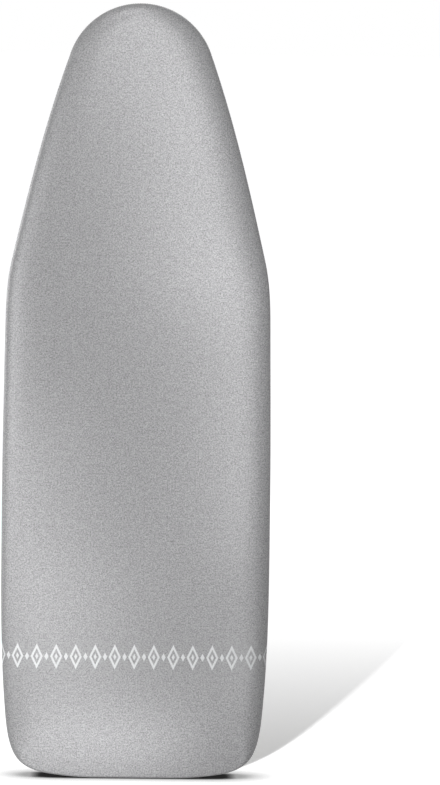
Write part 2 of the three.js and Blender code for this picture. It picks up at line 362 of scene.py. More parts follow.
def weaveGroup():
    # plain weave: warp and weft cross over and under, and each crossing has a glint of its own
    tree, given, result = newGroup("plainWeave", {"Threads": 1800.0, "Slub": 0.3}, ["Height", "Glint"])
    slub = put(tree, "TexNoise", {"Vector": given["Vector"], "Scale": 240.0, "Detail": 1.0})
    drift = vectors(tree, "SUBTRACT", {0: slub.outputs["Color"], 1: (0.5, 0.5, 0.5)})
    sway = vectors(tree, "SCALE", {0: drift, "Scale": given["Slub"]})
    scaled = vectors(tree, "SCALE", {0: given["Vector"], "Scale": given["Threads"]})
    moved = vectors(tree, "ADD", {0: scaled, 1: sway})
    across, along = put(tree, "SeparateXYZ", {0: moved}).outputs[:2]
    warp, weft = (
        sums(tree, "ABSOLUTE", sums(tree, "SINE", sums(tree, "MULTIPLY", way, math.pi)))
        for way in (across, along))
    cell = sums(tree, "ADD", sums(tree, "FLOOR", across), sums(tree, "FLOOR", along))
    parity = sums(tree, "MULTIPLY", sums(tree, "FRACT", sums(tree, "MULTIPLY", cell, 0.5)), 2.0)
    warpOver = sums(tree, "MULTIPLY", warp, sums(tree, "MULTIPLY_ADD", weft, 0.6, 0.4))
    weftOver = sums(tree, "MULTIPLY", weft, sums(tree, "MULTIPLY_ADD", warp, 0.6, 0.4))
    gap = sums(tree, "SUBTRACT", weftOver, warpOver)
    feed(tree, result["Height"], sums(tree, "MULTIPLY_ADD", gap, parity, warpOver))
    crossing = vectors(tree, "FLOOR", {0: moved})
    feed(tree, result["Glint"], put(tree, "TexWhiteNoise", {"Vector": crossing}).outputs["Value"])
    return tree


def mottleGroup():
    # uneven tone in two sizes about a middle of one half
    shares = {"Fine": 420.0, "Broad": 18.0, "Fine Share": 1.0, "Broad Share": 0.5}
    tree, given, result = newGroup("mottle", shares, ["Value", "Grain"])
    place3d = given["Vector"]
    fine = put(tree, "TexNoise", {"Vector": place3d, "Scale": given["Fine"], "Detail": 2.0, "Roughness": 0.6})
    broad = put(tree, "TexNoise", {"Vector": place3d, "Scale": given["Broad"], "Detail": 2.0})
    grain = sums(tree, "SUBTRACT", fine.outputs["Fac"], 0.5)
    patch = sums(tree, "SUBTRACT", broad.outputs["Fac"], 0.5)
    total = sums(tree, "ADD", sums(tree, "MULTIPLY", grain, given["Fine Share"]),
                 sums(tree, "MULTIPLY", patch, given["Broad Share"]))
    feed(tree, result["Value"], sums(tree, "ADD", total, 0.5, clamp=True))
    feed(tree, result["Grain"], fine.outputs["Fac"])
    return tree


def fibreGroup():
    # tangled fibres: thin level lines of a warped noise, in two sizes
    tree, given, result = newGroup("fibres", {"Scale": 260.0, "Width": 0.05}, ["Fibre", "Height"])
    lines = []
    for share, twist in ((1.0, 2.5), (0.45, 4.0)):
        scale = sums(tree, "MULTIPLY", given["Scale"], share)
        noise = put(tree, "TexNoise", {"Vector": given["Vector"], "Scale": scale, "Detail": 3.0,
                                       "Roughness": 0.6, "Distortion": twist})
        off = sums(tree, "ABSOLUTE", sums(tree, "SUBTRACT", noise.outputs["Fac"], 0.5))
        near = sums(tree, "DIVIDE", off, given["Width"])
        lines.append(sums(tree, "SUBTRACT", 1.0, near, clamp=True))
    feed(tree, result["Fibre"], sums(tree, "MAXIMUM", *lines))
    feed(tree, result["Height"], sums(tree, "ADD", lines[0], sums(tree, "MULTIPLY", lines[1], 0.7)))
    return tree


weave, mottle, fibres = weaveGroup(), mottleGroup(), fibreGroup()


def newMaterial(name, fixed):
    material = bpy.data.materials.new(name)
    material.use_nodes = True
    tree = material.node_tree
    shader = tree.nodes["Principled BSDF"].inputs
    for label, value in fixed.items():
        shader[label].default_value = value
    return material, tree, shader


def bump(tree, shader, height, distance, strength):
    made = put(tree, "Bump", {"Height": height, "Distance": distance, "Strength": strength})
    feed(tree, shader["Normal"], made.outputs["Normal"])


printBand = {
    "middle": 192 * mm,  # height of the row of lozenges on the flat cloth
    "pitch": 30.5 * mm,
    "halfHeight": 20 * mm,
    "halfWidth": 9.5 * mm,
    "ring": 0.62,
    "heart": 0.26,
    "dotHeight": 6.5 * mm,
    "dotWidth": 3.4 * mm,
    "blur": 0.05,
    "ink": (0.25, 0.5, 0.72, 0.95),  # the cloth's grain from and to, and how densely the ink lies there
    "colour": (0.80, 0.81, 0.82),
}


def printMask(tree, flat):
    # upright lozenges with a heart, and a small one between each two
    cut = put(tree, "SeparateXYZ", {0: flat})
    half = printBand["pitch"] / 2
    up = sums(tree, "ABSOLUTE", sums(tree, "SUBTRACT", cut.outputs[1], printBand["middle"]))

    def lozenge(shift, width, height):
        along = sums(tree, "WRAP", sums(tree, "ADD", cut.outputs[0], shift), half, -half)
        side = sums(tree, "DIVIDE", sums(tree, "ABSOLUTE", along), width)
        return sums(tree, "ADD", side, sums(tree, "DIVIDE", up, height))

    def inside(reach, limit):
        return ramp(tree, reach, limit + printBand["blur"], limit - printBand["blur"])

    large = lozenge(0.0, printBand["halfWidth"], printBand["halfHeight"])
    small = lozenge(half, printBand["dotWidth"], printBand["dotHeight"])
    ring = sums(tree, "SUBTRACT", inside(large, 1.0), inside(large, printBand["ring"]))
    marks = sums(tree, "MAXIMUM", inside(large, printBand["heart"]), inside(small, 1.0))
    return sums(tree, "MAXIMUM", ring, marks)


metallised = {
    "dark": (0.180, 0.1795, 0.183),
    "light": (0.490, 0.489, 0.497),
    "metallic": 0.25,
    "specular": 0.3,
    "grazing": (0.30, 0.30, 0.31),  # reflection at a glancing angle
    "roughness": (0.43, 0.33),  # of the dark and the light spots
    "fine": 420.0,
    "broad": 105.0,
    "shares": (1.5, 0.24),  # how strong the fine and the broad speckle are
    "glint": 0.55,  # how much the thread crossings differ
    "threads": 1500.0,
    "slub": 0.5,
    "grain": 0.8,  # the speckle's part in the relief
    "relief": (0.08 * mm, 0.6),
}
tones = {  # the darkest and the lightest colour of the other materials
    "cotton": ((0.50, 0.48, 0.43), (0.76, 0.74, 0.69)),
    "foam": ((0.70, 0.66, 0.56), (0.90, 0.86, 0.76)),
    "felt": ((0.54, 0.52, 0.47), (0.74, 0.72, 0.67)),
    "strays": ((0.24, 0.25, 0.28), (0.86, 0.85, 0.81)),  # the felt's few dark and many pale fibres
    "tape": ((0.36, 0.36, 0.35), (0.66, 0.66, 0.65)),
    "seamThread": ((0.42, 0.42, 0.42), (0.72, 0.72, 0.71)),
    "cordYarn": ((0.58, 0.57, 0.53), (0.84, 0.83, 0.79)),
    "steel": ((0.48, 0.49, 0.51), (0.72, 0.73, 0.75)),
}


def metallisedCloth(name, printed):
    material, tree, shader = newMaterial(name, {
        "Specular IOR Level": metallised["specular"], "Specular Tint": (*metallised["grazing"], 1.0)})
    flat = onCloth(tree)
    fineShare, broadShare = metallised["shares"]
    tone = useGroup(tree, mottle, {"Vector": flat, "Fine": metallised["fine"], "Broad": metallised["broad"],
                                   "Fine Share": fineShare, "Broad Share": broadShare})
    threads = useGroup(tree, weave, {"Vector": flat, "Threads": metallised["threads"],
                                     "Slub": metallised["slub"]})
    glint = sums(tree, "SUBTRACT", threads["Glint"], 0.5)
    shine = sums(tree, "MULTIPLY_ADD", glint, metallised["glint"], tone["Value"], clamp=True)
    colour = tint(tree, shine, metallised["dark"], metallised["light"])
    metal = metallised["metallic"]
    if printed:
        density = ramp(tree, tone["Grain"], *printBand["ink"])
        ink = sums(tree, "MULTIPLY", printMask(tree, flat), density)
        colour = tint(tree, ink, colour, printBand["colour"])
        metal = sums(tree, "MULTIPLY_ADD", ink, -metal, metal)
    feed(tree, shader["Metallic"], metal)
    feed(tree, shader["Base Color"], colour)
    feed(tree, shader["Roughness"], ramp(tree, shine, 0.0, 1.0, *metallised["roughness"]))
    relief = sums(tree, "MULTIPLY_ADD", tone["Grain"], metallised["grain"], threads["Height"])
    bump(tree, shader, relief, *metallised["relief"])
    return material


def cottonReverse():
    material, tree, shader = newMaterial("cottonReverse", {"Roughness": 0.9, "Specular IOR Level": 0.2})
    tone = useGroup(tree, mottle, {"Vector": inSpace(tree), "Fine": 300.0, "Broad": 22.0})
    threads = useGroup(tree, weave, {"Vector": onCloth(tree), "Threads": 1500.0, "Slub": 0.6})
    patchy = sums(tree, "MULTIPLY", tone["Value"], 0.6)
    share = sums(tree, "MULTIPLY_ADD", threads["Height"], 0.4, patchy)
    feed(tree, shader["Base Color"], tint(tree, share, *tones["cotton"]))
    bump(tree, shader, threads["Height"], 0.15 * mm, 0.7)
    return material


def foamMaterial():
    material, tree, shader = newMaterial("openCellFoam", {"Roughness": 0.95, "Specular IOR Level": 0.15})
    place3d = inSpace(tree)
    cells = put(tree, "TexVoronoi", {"Vector": place3d, "Scale": 900.0}).outputs["Distance"]
    tone = useGroup(tree, mottle, {"Vector": place3d, "Fine": 500.0, "Broad": 10.0, "Broad Share": 0.9})
    pore = ramp(tree, cells, 0.15, 0.55)
    share = sums(tree, "MULTIPLY", tone["Value"], sums(tree, "SUBTRACT", 1.15, pore), clamp=True)
    feed(tree, shader["Base Color"], tint(tree, share, *tones["foam"]))
    bump(tree, shader, cells, 0.5 * mm, 0.6)
    return material


def feltMaterial():
    material, tree, shader = newMaterial("needleFelt", {"Roughness": 0.97, "Specular IOR Level": 0.1})
    place3d = inSpace(tree)
    tangle = useGroup(tree, fibres, {"Vector": place3d, "Scale": 210.0, "Width": 0.045})
    stray = useGroup(tree, fibres, {"Vector": place3d, "Scale": 70.0, "Width": 0.012})
    tone = useGroup(tree, mottle, {"Vector": place3d, "Fine": 260.0, "Broad": 16.0, "Broad Share": 1.0})
    dark, pale = tones["strays"]
    colour = tint(tree, tone["Value"], *tones["felt"])
    colour = tint(tree, sums(tree, "MULTIPLY", tangle["Fibre"], 0.55), colour, pale)
    colour = tint(tree, sums(tree, "MULTIPLY", stray["Fibre"], 0.5), colour, dark)
    feed(tree, shader["Base Color"], colour)
    bump(tree, shader, sums(tree, "ADD", tangle["Height"], tone["Grain"]), 0.4 * mm, 0.7)
    return material


def tapeMaterial():
    material, tree, shader = newMaterial("hemTape", {"Roughness": 0.85, "Specular IOR Level": 0.25})
    flat = onCloth(tree)
    threads = useGroup(tree, weave, {"Vector": flat, "Threads": 1100.0, "Slub": 0.35})
    tone = useGroup(tree, mottle, {"Vector": flat, "Fine": 350.0, "Broad": 40.0})
    uneven = sums(tree, "MULTIPLY_ADD", tone["Value"], 0.5, 0.7)
    share = sums(tree, "MULTIPLY", threads["Height"], uneven)
    feed(tree, shader["Base Color"], tint(tree, share, *tones["tape"]))
    bump(tree, shader, threads["Height"], 0.25 * mm, 0.9)
    return material


def threadMaterial(name):
    material, tree, shader = newMaterial(name, {"Roughness": 0.7, "Specular IOR Level": 0.3})
    place3d = inSpace(tree)
    tone = useGroup(tree, mottle, {"Vector": place3d, "Fine": 1500.0, "Broad": 60.0, "Fine Share": 1.6})
    strand = useGroup(tree, fibres, {"Vector": place3d, "Scale": 1200.0, "Width": 0.06})
    feed(tree, shader["Base Color"], tint(tree, tone["Value"], *tones[name]))
    bump(tree, shader, strand["Height"], 0.08 * mm, 0.5)
    return material


def mouldedPlastic(name, colour, roughness):
    material, tree, shader = newMaterial(name, {"Roughness": roughness})
    grain = useGroup(tree, mottle, {"Vector": inSpace(tree), "Fine": 2600.0, "Broad": 120.0,
                                    "Broad Share": 0.8})
    pale = tuple(min(1.0, c * 1.5 + 0.01) for c in colour)
    feed(tree, shader["Base Color"], tint(tree, grain["Value"], colour, pale))
    uneven = ramp(tree, grain["Value"], 0.2, 0.8, roughness - 0.08, roughness + 0.12)
    feed(tree, shader["Roughness"], uneven)
    bump(tree, shader, grain["Grain"], 0.06 * mm, 0.5)
    return material


def springSteel():
    material, tree, shader = newMaterial("springSteel", {"Roughness": 0.3, "Metallic": 1.0})
    tone = useGroup(tree, mottle, {"Vector": inSpace(tree), "Fine": 2000.0, "Broad": 300.0})
    feed(tree, shader["Base Color"], tint(tree, tone["Value"], *tones["steel"]))
    feed(tree, shader["Roughness"], ramp(tree, tone["Grain"], 0.3, 0.7, 0.22, 0.4))
    return material


printedCloth = metallisedCloth("printedMetallisedCloth", True)
plainCloth = metallisedCloth("plainMetallisedCloth", False)
cotton = cottonReverse()
foam = foamMaterial()
felt = feltMaterial()
tape = tapeMaterial()
seamThread = threadMaterial("seamThread")
cordYarn = threadMaterial("cordYarn")
lockBlack = mouldedPlastic("lockBlack", (0.012, 0.012, 0.013), 0.45)
buttonGrey = mouldedPlastic("buttonGrey", (0.026, 0.027, 0.029), 0.42)
steel = springSteel()
print("materials ready")

# Outer cloth: face, rounding and skirt in one sheet
faceCloth = {
    "spacings": [4 * mm, 4 * mm, 4 * mm, 3 * mm, 5 * mm, 5 * mm, 4 * mm, 5 * mm, 3 * mm],
    "spacing": 9 * mm,
    "roundRows": 16,
    "skirtRows": 8,
    "skirtDepth": 42 * mm,
    "flankRound": (75 * mm, 24 * mm),  # width and depth of the rounding
    "noseRound": (27 * mm, 17 * mm),
    "rearRound": (3.6 * mm, 7 * mm),
    "noseHold": 1.5,  # how far the nose's rounding is carried round to the flanks
    "cornerHold": 8.0,  # how far the crisp rear edge is carried round the corners
    "room": 0.75,  # how much of a tight corner's radius the rounding may take up
    "roomBlend": 6,  # the higher, the later that limit is felt
    "onset": 2.6,  # above 2 the rounding starts more gently than an ellipse
    "thickness": 0.9 * mm,
    "noseCurve": (0.1, 0.7),  # where the edge counts as curved, by the way out of the cover
    "cornerCurve": (0.2, 0.6),
    "puckerFlank": 0.35 * mm,  # skirt puckers above the seam
    "puckerCurve": 1.1 * mm,
    "puckerPitch": 17 * mm,
    "puckerSway": (2.2, 31),  # how much they crowd and spread, and how often
    "lie": 0.7 * mm,  # how unevenly the face lies on its padding
    "waves": [(1.0, 9.5, 6.3, 0.6), (0.7, -13.0, 8.1, 2.1), (0.5, 21.0, 3.0, 0.0)],  # strength, x, z, start
    "calmSide": (60 * mm, 150 * mm),  # the waves die out towards the edge
    "calmFoot": (20 * mm, 160 * mm),
    "calmNose": (40 * mm, 180 * mm),
}
rimAt, rimOut = (wholeRun(part) for part in halfRun(0, evenSteps(faceCloth["spacings"])))
rimArc = lengthsAlong(rimAt)


def bendRadius():
    # how tightly the rim turns at each of its points, evened out a little along it
    spread, leastRate = 6, 0.2
    turn = np.unwrap(np.arctan2(rimOut[:, 1], rimOut[:, 0]))
    rate = np.abs(np.gradient(turn, rimArc))
    ring = np.concatenate([rate[-spread:], rate, rate[:spread]])
    window = np.full(2 * spread + 1, 1 / (2 * spread + 1))
    return 1 / np.maximum(np.convolve(ring, window, "valid"), leastRate)


def rounding():
    # width and depth of the rounding all round, never wider than a tight corner has room for
    nose = rimOut[:, 1] > 0
    side = np.abs(rimOut[:, 0]) ** np.where(nose, faceCloth["noseHold"], faceCloth["cornerHold"])
    sizes = []
    for k in (0, 1):
        end = np.where(nose, faceCloth["noseRound"][k], faceCloth["rearRound"][k])
        sizes.append(mixed(end, faceCloth["flankRound"][k], side))
    room, blend = faceCloth["room"] * bendRadius(), faceCloth["roomBlend"]
    return (sizes[0] ** -blend + room ** -blend) ** (-1 / blend), sizes[1]


roundWidth, roundDepth = rounding()


def curveShare(out):
    # 1 at the nose and the rear corners, where the cloth is gathered hard, 0 on the flanks
    nose = smooth(out[:, 1], *faceCloth["noseCurve"])
    rear = smooth(-out[:, 1], *faceCloth["cornerCurve"])
    return np.maximum(nose, rear * smooth(np.abs(out[:, 0]), *faceCloth["cornerCurve"]))


def lieOf(at):
    # slow rises and hollows of the padded face, in shares of its unevenness, none near its edge
    x, z = at[:, 0], at[:, 1]
    wave = sum(size * np.sin(a * x + b * z + start) for size, a, b, start in faceCloth["waves"])
    half = len(rimAt) // 2 + 1
    side = np.interp(z, rimAt[:half, 1], rimAt[:half, 0]) - np.abs(x)
    calm = smooth(side, *faceCloth["calmSide"]) * smooth(z, *faceCloth["calmFoot"])
    calm *= smooth(edge["length"] - z, *faceCloth["calmNose"])
    return 0.5 * calm * wave


def makeFaceCloth():
    pucker = mixed(faceCloth["puckerFlank"], faceCloth["puckerCurve"], curveShare(rimOut))
    sway, swayRate = faceCloth["puckerSway"]
    phase = rimArc * 2 * math.pi / faceCloth["puckerPitch"] + sway * np.sin(rimArc * swayRate)
    ripple = 0.5 + 0.5 * np.sin(phase)
    profile = []
    for angle in np.linspace(0, math.pi / 2, faceCloth["roundRows"]):
        inset = roundWidth * (1 - math.sin(angle) ** (2 / faceCloth["onset"]))
        profile.append((inset, roundDepth * (1 - math.cos(angle))))
    for t in np.linspace(0, 1, faceCloth["skirtRows"] + 1)[1:]:
        profile.append((pucker * ripple * t * t, mixed(roundDepth, faceCloth["skirtDepth"], t)))
    rows = [place(rimAt - rimOut * inset[:, None], deep) for inset, deep in profile]
    brink = rows[0][:, [0, 2]]
    flats = [brink]
    reach = np.zeros(len(rimAt))
    for before, after in zip(rows, rows[1:]):
        reach = reach + np.linalg.norm(after - before, axis=1)
        flats.append(brink + rimOut * reach[:, None])
    faces = gridFaces(len(rows), len(rimAt), True).tolist()
    inner, fill = fillInside(brink, faceCloth["spacing"], 0, len(rows) * len(rimAt))
    rows.append(place(inner, faceCloth["lie"] * lieOf(inner)))
    flats.append(inner)
    piece = makePiece("outer_cloth_fabric", np.concatenate(rows), faces + fill, [printedCloth, cotton],
                      replaces=["outer_cloth"], slot="metallised_cloth", uv=np.concatenate(flats))
    thicken(piece, faceCloth["thickness"], backing=1)


makeFaceCloth()
print("outer cloth ready")

# Border sewn to the skirt, turned under and gathered by the cord
halves = (("right", 1), ("left", -1))
borderCloth = {
    "seed": 41,
    "spacings": [4 * mm, 4 * mm, 2.6 * mm, 2.4 * mm, 4 * mm, 4.5 * mm, 4 * mm, 4 * mm, 2.2 * mm],
    "seam": [(1.5 * mm, -2.5 * mm), (1.3 * mm, -0.6 * mm), (0.4 * mm, 0.9 * mm)],  # insets and depths
    "turnRadius": 10 * mm,
    "turnStart": 0.2,
    "depth": 52 * mm,
    "turnRows": 7,
    "marginRows": 20,
    "sunk": 0.6 * mm,  # how far the margin lies in from the turn's depth
    "tuck": 5 * mm,  # how far from the cord the border is caught by the tape
    "thickness": 0.8 * mm,
    "foldFlank": 30 * mm,  # fold pitch along the rim
    "foldCurve": 17 * mm,
    "pitches": (0.6, 1.5, 110),  # least and most share of the fold pitch, and how often it changes
    "sizes": (0.5, 1.1, 90),
    "gapCalm": (2 * mm, 25 * mm),  # folds die out towards the lock and the nose
    "noseCalm": (2 * mm, 14 * mm),
    "mostRise": 6 * mm,
    "riseShare": 0.62,
    "riseMiddle": 0.75,
    "sway": (1.6, 3.1, 60 * mm),  # how folds wander on their way in: size, turn and run
    "fullness": 0.05,  # spare length even where the rim is straight
    "spare": (0.1, 0.6),  # shares of the way in over which the spare length comes
    "caught": (0.8, 1.0),  # and over which the tape takes it up again
    "mostShrunk": 0.55,
    "noseSeam": (0.9 * mm, 4 * mm),  # how far the seam at the nose is drawn in, and how far along
    "endFold": 0.8 * mm,  # radius of the fold at each end beside the lock
    "endHem": 8 * mm,
    "frames": 16,
    "cloth": {"quality": 5, "mass": 0.15, "tension_stiffness": 20, "compression_stiffness": 20,
              "shear_stiffness": 6, "bending_stiffness": 0.4, "air_damping": 4},
}


def foldPhase(arc, out, random):
    # a running angle whose folds crowd together where the edge turns
    pitch = mixed(borderCloth["foldFlank"], borderCloth["foldCurve"], curveShare(out))
    rate = 2 * math.pi / (pitch * unevenAlong(arc, random, *borderCloth["pitches"]))
    return np.concatenate([[0], np.cumsum(0.5 * (rate[1:] + rate[:-1]) * np.diff(arc))])


def borderLines():
    # where the border leaves the skirt and where the tape catches it, beside the gap at the foot
    steps = evenSteps(borderCloth["spacings"])
    hem, hemWay = pastMouth(edge["hem"], steps)
    return *pastMouth(0, steps), hem + hemWay * borderCloth["tuck"]


def layBorder(side, random):
    # the border before its folds settle: points, flat lengths and how much each point is drawn in
    rim, rimWay, outer = borderLines()
    arc = lengthsAlong(rim)
    radius, deep = borderCloth["turnRadius"], borderCloth["depth"]
    start = deep - radius
    phase = foldPhase(arc, rimWay, random)
    size = unevenAlong(arc, random, *borderCloth["sizes"])
    size *= smooth(arc, *borderCloth["gapCalm"]) * smooth(arc[-1] - arc, *borderCloth["noseCalm"])
    rows = [place(rim - rimWay * inset, start + further) for inset, further in borderCloth["seam"]]
    for angle in np.linspace(borderCloth["turnStart"], math.pi / 2, borderCloth["turnRows"]):
        rows.append(place(rim - rimWay * radius * (1 - math.cos(angle)), start + radius * math.sin(angle)))
    drawn = [np.zeros(len(arc))] * len(rows)
    flatRows = list(rows)
    inner = rim - rimWay * radius
    drawIn, drawRun = borderCloth["noseSeam"]
    level = deep - borderCloth["sunk"] - drawIn * (1 - smooth(arc[-1] - arc, 0, drawRun))
    sway, swayTurn, swayRun = borderCloth["sway"]
    for t in np.linspace(0, 1, borderCloth["marginRows"])[1:]:
        flat = mixed(inner, outer, t)
        along = lengthsAlong(flat)
        ratio = np.gradient(arc) / np.gradient(along)
        caught = smooth(t, *borderCloth["caught"])
        spare = borderCloth["fullness"] * smooth(t, *borderCloth["spare"]) * (1 - caught)
        drawn.append(caught * (1 - 1 / ratio) - spare)
        pitch = 2 * math.pi / np.gradient(phase, along)
        rise = pitch / math.pi * np.sqrt(np.maximum(ratio * (1 - drawn[-1]) - 1, 0)) * size
        rise = np.minimum(rise, borderCloth["mostRise"])
        wander = phase + sway * t * np.sin(swayTurn * arc / swayRun + side)
        flatRows.append(place(flat, deep - borderCloth["sunk"]))
        wave = rise * (borderCloth["riseMiddle"] - np.cos(wander)) * borderCloth["riseShare"]
        rows.append(place(flat, level + wave))
    drawn = np.stack(drawn)
    gaps = np.linalg.norm(np.diff(np.stack(flatRows), axis=0), axis=2)
    gaps /= 1 - 0.5 * (drawn[1:] + drawn[:-1])
    across = np.concatenate([np.zeros((1, len(arc))), np.cumsum(gaps, axis=0)])
    rest = np.stack([np.broadcast_to(arc, across.shape), across], 2)
    return np.stack(rows) * [side, 1, 1], rest, drawn


def settleFolds(piece, rest, drawn):
    # the border relaxes between the seam and the tape until folds take up its length
    rows, columns = rest.shape[:2]
    piece.shape_key_add(name="worn")
    flat = piece.shape_key_add(name="flat")
    spots = np.stack([rest[..., 0], np.zeros((rows, columns)), rest[..., 1]], 2)
    flat.data.foreach_set("co", spots.astype(np.float32).ravel())
    numbers = np.arange(rows * columns).reshape(rows, columns)
    held = piece.vertex_groups.new(name="held")
    for part in (numbers[:borderCloth["turnRows"]], numbers[-1:], numbers[:, :2], numbers[:, -2:]):
        held.add(part.ravel().tolist(), 1.0, "REPLACE")
    least, most = -borderCloth["fullness"], borderCloth["mostShrunk"]
    shrunk = piece.vertex_groups.new(name="shrunk")
    for number, weight in zip(numbers.ravel().tolist(), ((drawn - least) / (most - least)).ravel().tolist()):
        shrunk.add([number], min(max(weight, 0.0), 1.0), "REPLACE")
    cloth = piece.modifiers.new("folds", "CLOTH")
    settings = cloth.settings
    for key, value in borderCloth["cloth"].items():
        setattr(settings, key, value)
    settings.vertex_group_mass = "held"
    settings.vertex_group_shrink = "shrunk"
    settings.shrink_min = least
    settings.shrink_max = most
    settings.rest_shape_key = flat
    settings.effector_weights.gravity = 0
    cloth.collision_settings.use_collision = False
    cloth.point_cache.frame_start = 1
    cloth.point_cache.frame_end = borderCloth["frames"]
    for moment in range(1, borderCloth["frames"] + 1):
        scene.frame_set(moment)
    settle(piece)
    scene.frame_set(1)


def foldEnd(grid, side):
    # turns the end beside the lock in on itself: new columns, from the inside out
    at = grid[:, 0]
    toward = np.array([side, 0.0, 0.0])
    inward = unit(np.cross(toward, np.gradient(at, axis=0)) * side)
    radius, reach = borderCloth["endFold"], borderCloth["endHem"]
    columns = [at + toward * d + inward * 2 * radius for d in (reach, reach / 2, 0.0)]
    for angle in np.radians([135, 90, 45]):
        columns.append(at - toward * radius * math.sin(angle) + inward * radius * (1 - math.cos(angle)))
    return np.stack(columns, 1)


def pointsOf(piece):
    spots = np.empty(len(piece.data.vertices) * 3)
    piece.data.vertices.foreach_get("co", spots)
    return spots.reshape(-1, 3)


borderGrids = {}


def makeBorder(label, side, random):
    grid, rest, drawn = layBorder(side, random)
    loose = newObject("loose", grid.reshape(-1, 3), gridFaces(*grid.shape[:2], False))
    settleFolds(loose, rest, drawn)
    grid = pointsOf(loose).reshape(grid.shape)
    bpy.data.objects.remove(loose)
    borderGrids[side] = grid
    ends = foldEnd(grid, side)
    turnedIn = np.linspace(1, 0.1, ends.shape[1])[None, :, None]
    flatEnds = rest[:, :1] - np.array([[borderCloth["endHem"], 0]]) * turnedIn
    grid = np.concatenate([ends, grid], 1)
    flat = np.concatenate([flatEnds, rest], 1)
    faces = gridFaces(*grid.shape[:2], False, flip=side < 0)
    piece = makePiece("border_" + label + "_fabric", grid.reshape(-1, 3), faces, [plainCloth, cotton],
                      replaces=["border_" + label], slot="metallised_cloth", uv=flat.reshape(-1, 2))
    thicken(piece, borderCloth["thickness"], backing=1)


for number, (label, side) in enumerate(halves):
    makeBorder(label, side, np.random.default_rng(borderCloth["seed"] + number))
print("borders ready")

# Foam and felt
padding = {
    "spacing": 25 * mm,
    "foamFront": 1.5 * mm,
    "foamBack": 5.5 * mm,
    "foamEnd": math.radians(60),
    "foamRows": 9,
    "feltSpacing": 10 * mm,
    "feltFront": 5.8 * mm,
    "feltBack": 8.8 * mm,
    "feltOut": 4 * mm,
    "feltFrontEdge": [(0.0, 0.0), (0.6, 0.3 * mm), (1.0, 1.4 * mm)],  # share of the way out, and depth
    "feltBackEdge": [(0.75, 0.5 * mm), (0.3, 0.05 * mm), (0.0, 0.0)],
    "lie": 0.35 * mm,
}


def drapedRow(offset, angle):
    # a row of the padding that lies a given way under the cloth's rounding
    reach, fall = np.maximum(roundWidth - offset, 0), np.maximum(roundDepth - offset, 0)
    inset = roundWidth - reach * math.sin(angle) ** (2 / faceCloth["onset"])
    deep = np.maximum(roundDepth, offset) - fall * math.cos(angle)
    return place(rimAt - rimOut * inset[:, None], deep)


def closedPad(node, edgeRows, backSpacing, lie, material, slot):
    # rows from the front over the edge to the back, with both faces filled in
    count = len(rimAt)
    faces = gridFaces(len(edgeRows), count, True).tolist()
    verts = list(edgeRows)
    total = len(edgeRows) * count
    for row, spacing, back in ((0, padding["spacing"], False), (len(edgeRows) - 1, backSpacing, True)):
        inner, fill = fillInside(edgeRows[row][:, [0, 2]], spacing, row * count, total)
        faces += [face[::-1] for face in fill] if back else fill
        level = edgeRows[row][:, 1].mean() - faceY
        verts.append(place(inner, level + (lie * lieOf(inner) if back else 0.0)))
        total += len(inner)
    return makePiece(node + "_soft", np.concatenate(verts), faces, [material], replaces=[node], slot=slot)


def makeFoam():
    angles = np.linspace(0, padding["foamEnd"], padding["foamRows"])
    front = [drapedRow(padding["foamFront"], angle) for angle in angles]
    back = [drapedRow(padding["foamBack"], angle) for angle in angles[::-1]]
    piece = closedPad("foam_pad", front + back, padding["spacing"], 0.0, foam, "foam")


def makeFelt():
    front, back = padding["feltFront"], padding["feltBack"]
    brink = drapedRow(front, 0.0)[:, [0, 2]]
    rim = brink + rimOut * padding["feltOut"]
    edgeLine = [(share, front + deep) for share, deep in padding["feltFrontEdge"]]
    edgeLine += [(share, back - deep) for share, deep in padding["feltBackEdge"]]
    rows = [place(mixed(brink, rim, share), deep) for share, deep in edgeLine]
    piece = closedPad("felt_underlay", rows, padding["feltSpacing"], padding["lie"], felt, "felt")


makeFoam()
makeFelt()
print("padding ready")

# Tape tunnel on the border's edge
tunnel = {
    "seed": 71,
    "spacing": 1.6 * mm,
    "halfWidth": 7 * mm,
    "halfHeight": 3.3 * mm,
    "flatness": (0.75, 0.9),  # below 1 the section is squarer than an ellipse
    "girth": 34 * mm,
    "wall": 1.0 * mm,
    "depth": 51.4 * mm,
    "pucker": 0.45 * mm,
    "puckerShares": (0.5, 0.9),  # on the flanks, and how much more in the curves
    "puckerPitch": 6.5 * mm,
    "puckers": (0.7, 1.4, 160),  # least and most share of that pitch, and how often it changes
    "puckerLean": 1.4,  # how slanted they run across the tape
    "puckerSway": (0.8, 0.37),  # how much they crowd and spread, and how often
    "sides": 28,
    "seamSide": 3,  # which of the sides the stitches run along
    "seamDip": 0.45 * mm,
}
tunnelGrids = {}


def hemLine(spacing, side):
    # the line the tape follows, the way out of the cover and how curved the cover's edge is beside it
    steps = evenSteps(spacing)
    hem, way = pastMouth(edge["hem"], steps)
    return hem * [side, 1], way * [side, 1], curveShare(pastMouth(0, steps)[1])


